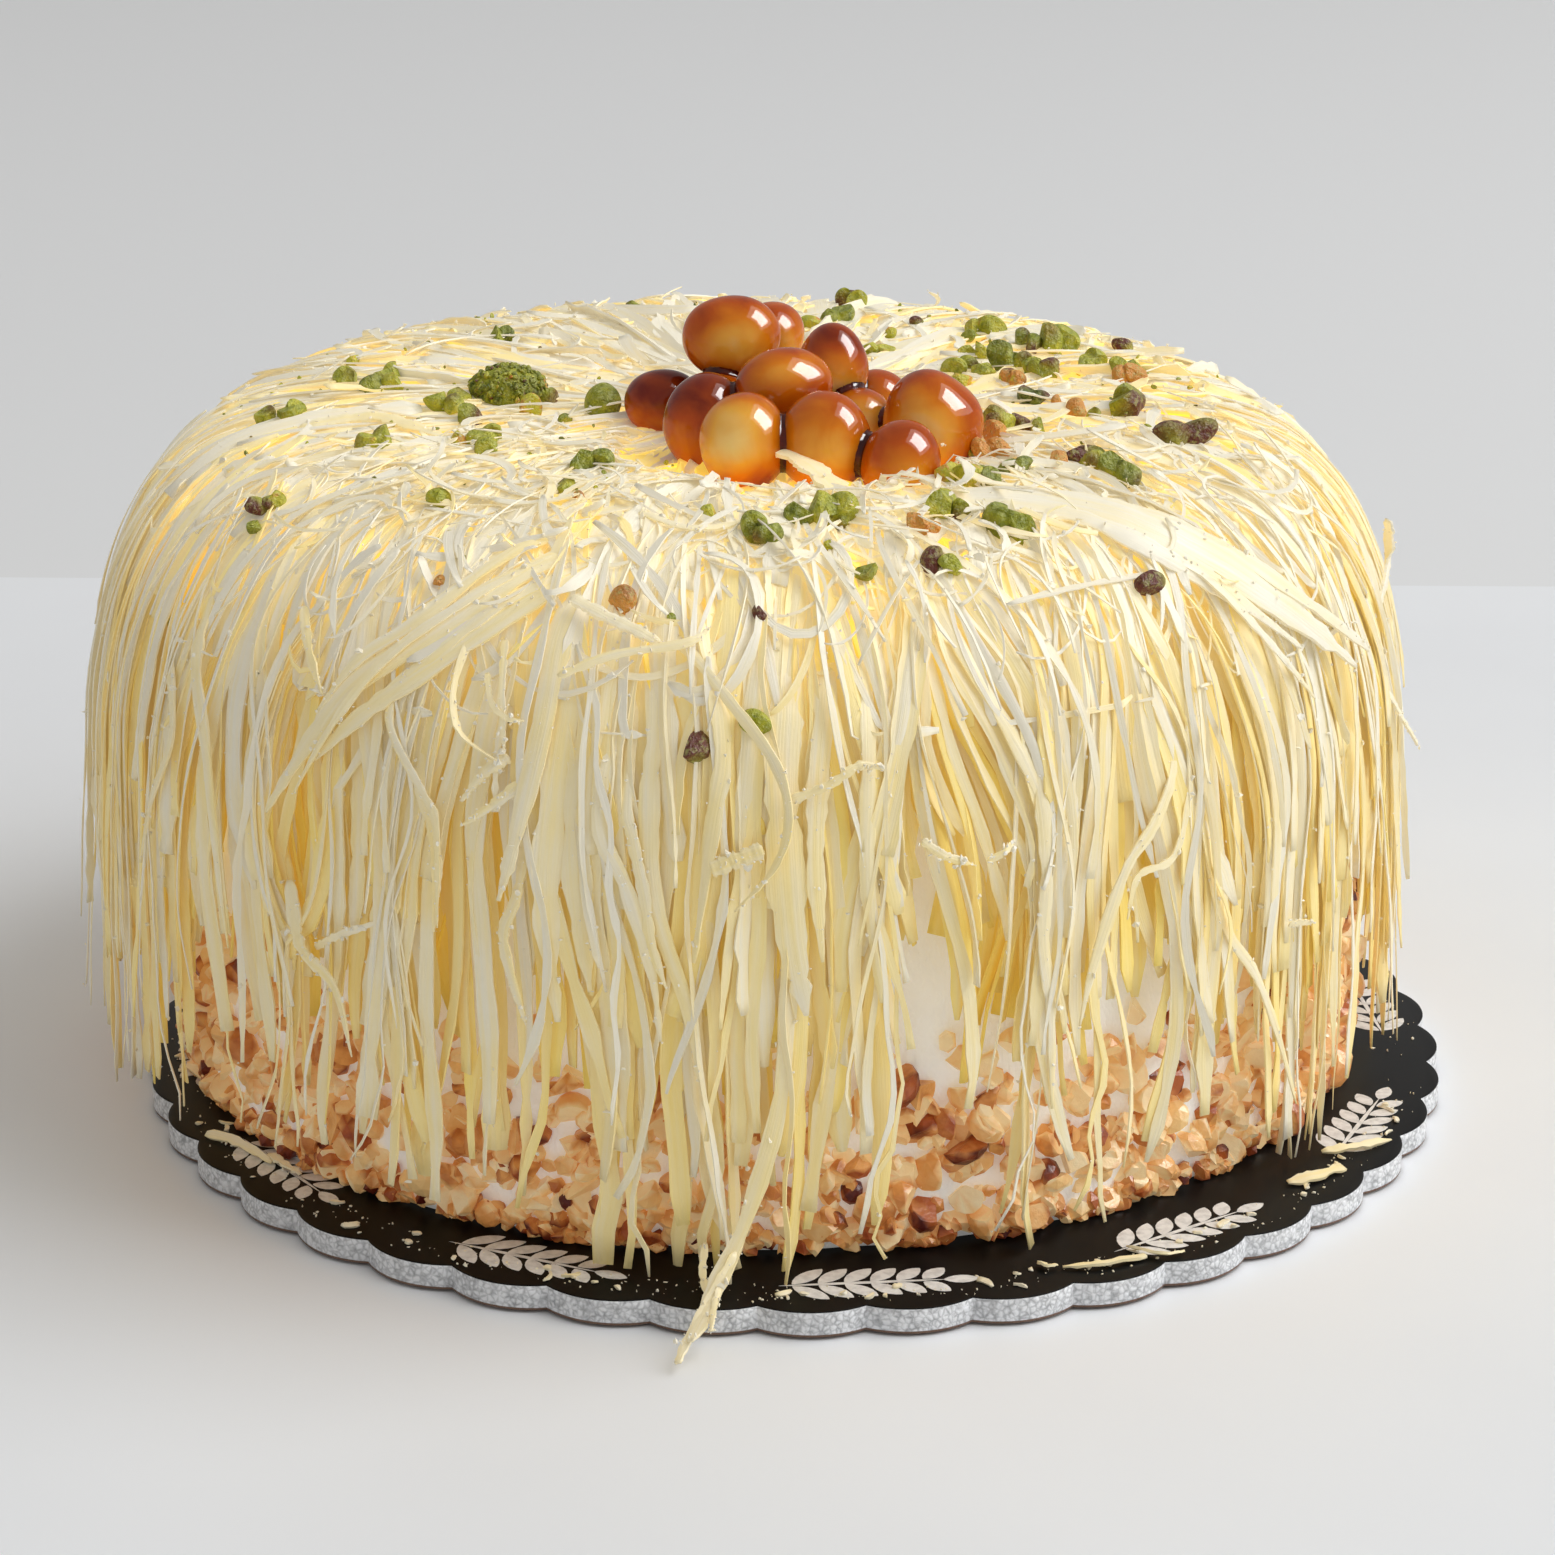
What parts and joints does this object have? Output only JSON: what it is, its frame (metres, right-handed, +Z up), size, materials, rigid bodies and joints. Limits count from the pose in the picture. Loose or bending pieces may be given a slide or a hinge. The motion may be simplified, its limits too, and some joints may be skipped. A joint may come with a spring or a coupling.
{
  "type": "banana cake",
  "caption": "Round cream cake on a scalloped cake board, with a nut crust at the foot, a hanging coat of white chocolate shavings, glazed hazelnuts and pistachios.",
  "frame": {"origin": "centre of the cake board's underside, on the table", "axes": "+Z up, -Y towards the side that faces the viewer, +X to the viewer's right"},
  "size_m": [0.269, 0.2838, 0.1565],
  "materials": {
    "board": "black laminated top with a silver-grey edge",
    "cake": "whipped cream with chopped roasted nuts pressed in",
    "shavings": "ivory white-chocolate shavings, softly waxy",
    "glazed_hazelnut": "caramel glaze, wet gloss",
    "pistachio": "rough chopped nut"
  },
  "bodies": {
    "root": {"board": "board", "cake": "cake", "shavings": "shavings", "hazelnut_01": "glazed_hazelnut", "hazelnut_02": "glazed_hazelnut", "hazelnut_03": "glazed_hazelnut", "hazelnut_04": "glazed_hazelnut", "hazelnut_05": "glazed_hazelnut", "hazelnut_06": "glazed_hazelnut", "hazelnut_07": "glazed_hazelnut", "hazelnut_08": "glazed_hazelnut", "hazelnut_09": "glazed_hazelnut", "hazelnut_10": "glazed_hazelnut", "hazelnut_11": "glazed_hazelnut", "hazelnut_12": "glazed_hazelnut", "hazelnut_13": "glazed_hazelnut", "hazelnut_14": "glazed_hazelnut", "hazelnut_15": "glazed_hazelnut", "pistachio_cluster": "pistachio", "pistachio_kernel": "pistachio", "loose_shred_1": "shavings", "loose_shred_2": "shavings", "loose_shred_3": "shavings", "loose_shred_4": "shavings"}
  },
  "joints": []
}
